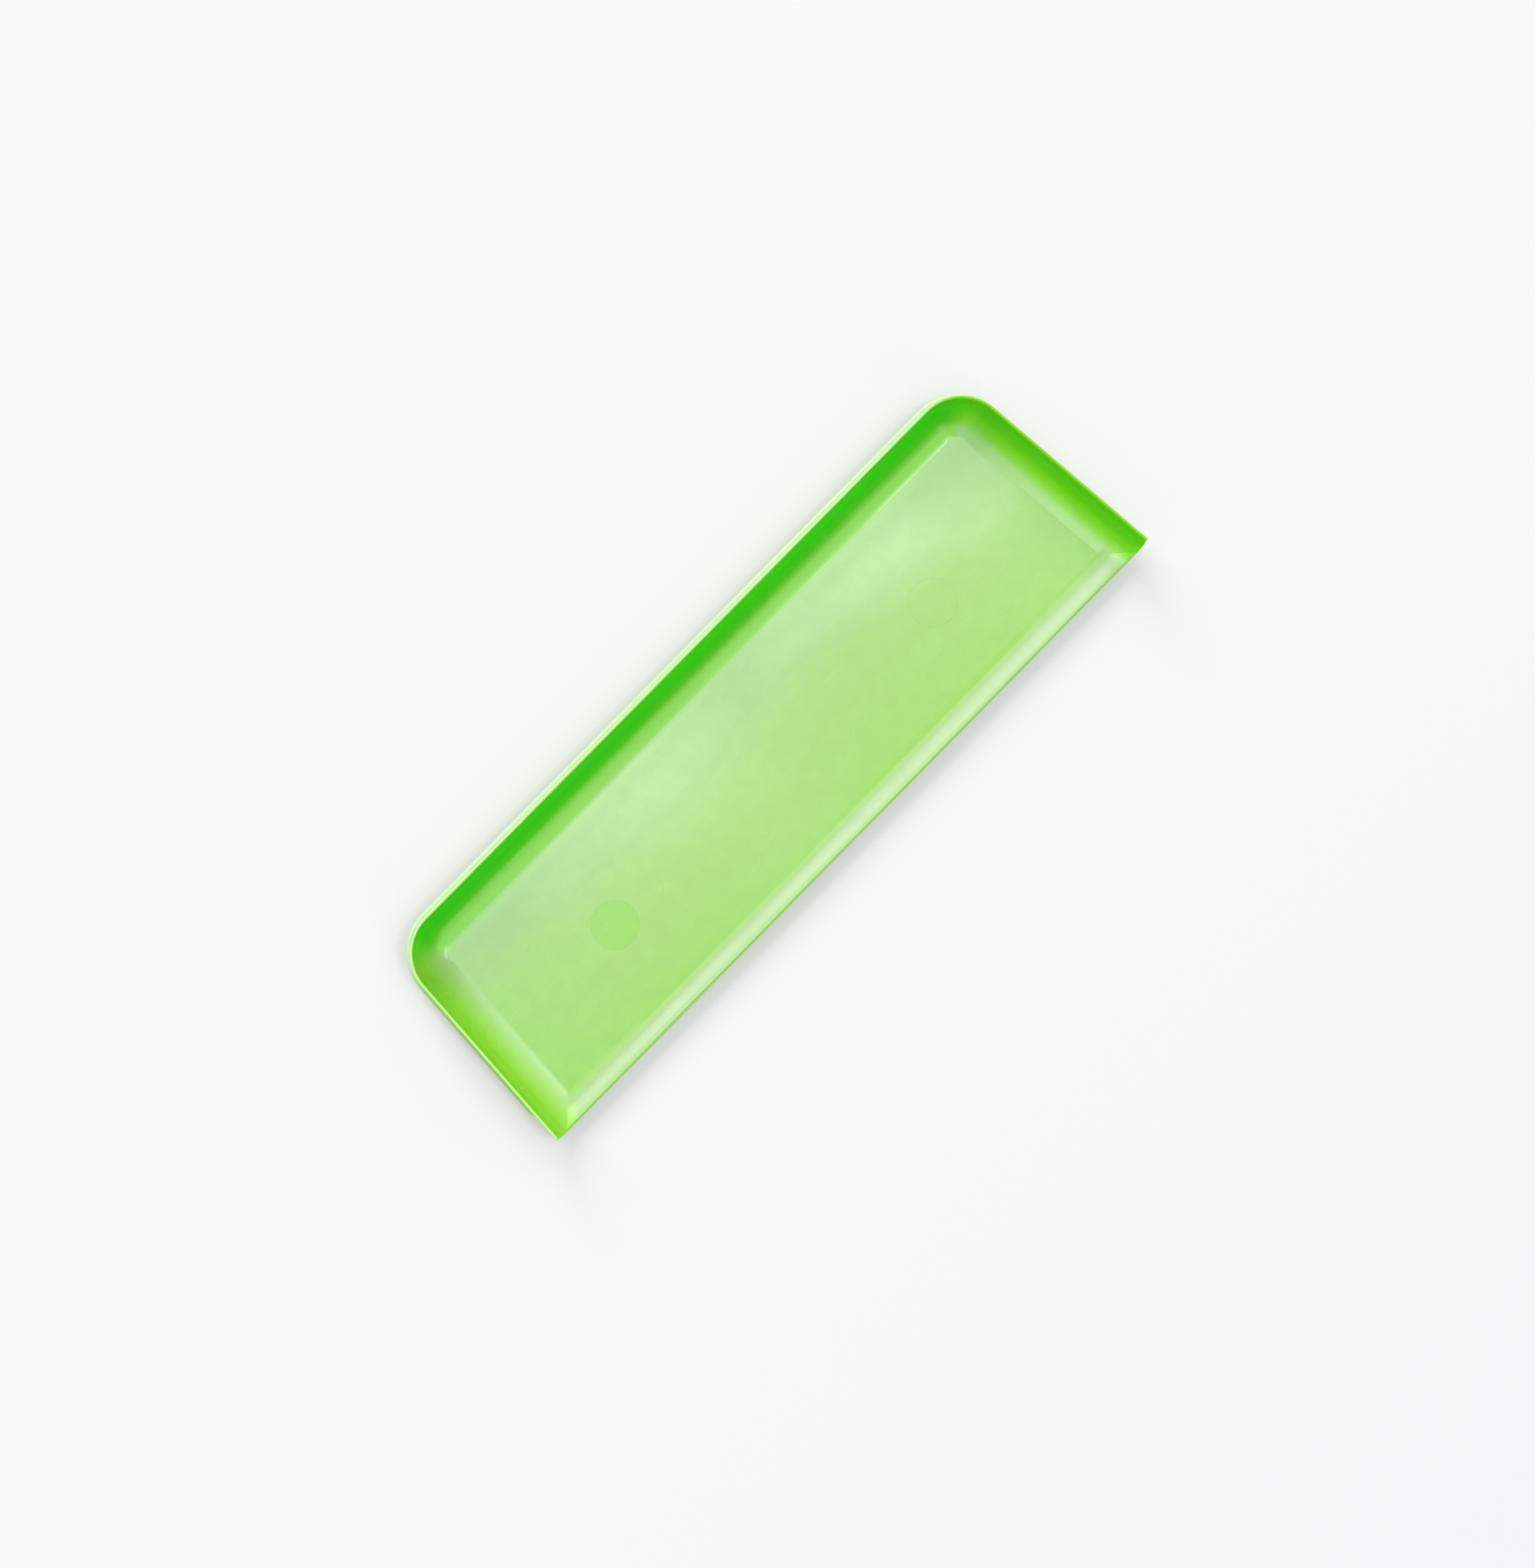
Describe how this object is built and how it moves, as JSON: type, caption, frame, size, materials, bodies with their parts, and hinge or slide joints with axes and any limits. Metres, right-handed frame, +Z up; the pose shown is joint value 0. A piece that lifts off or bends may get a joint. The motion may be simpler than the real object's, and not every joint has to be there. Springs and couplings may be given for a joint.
{
  "type": "open-front scoop tray",
  "caption": "Shallow moulded tray with a back wall, flared end walls, an open front that turns up as a lip, an outside bead and flush round floor plugs.",
  "frame": {"origin": "centre of the overall box in plan, at the underside of the floor", "axes": "+X along the tray, +Y towards the back wall, +Z up"},
  "size_m": [0.3474, 0.106, 0.026],
  "materials": {
    "tray_plastic": "glossy, slightly translucent bright green moulded plastic",
    "plug_plastic": "satin green moulded plastic, a little deeper than the tray"
  },
  "bodies": {
    "root": {"tray_shell": "tray_plastic", "plug_left": "plug_plastic", "plug_right": "plug_plastic"}
  },
  "joints": []
}
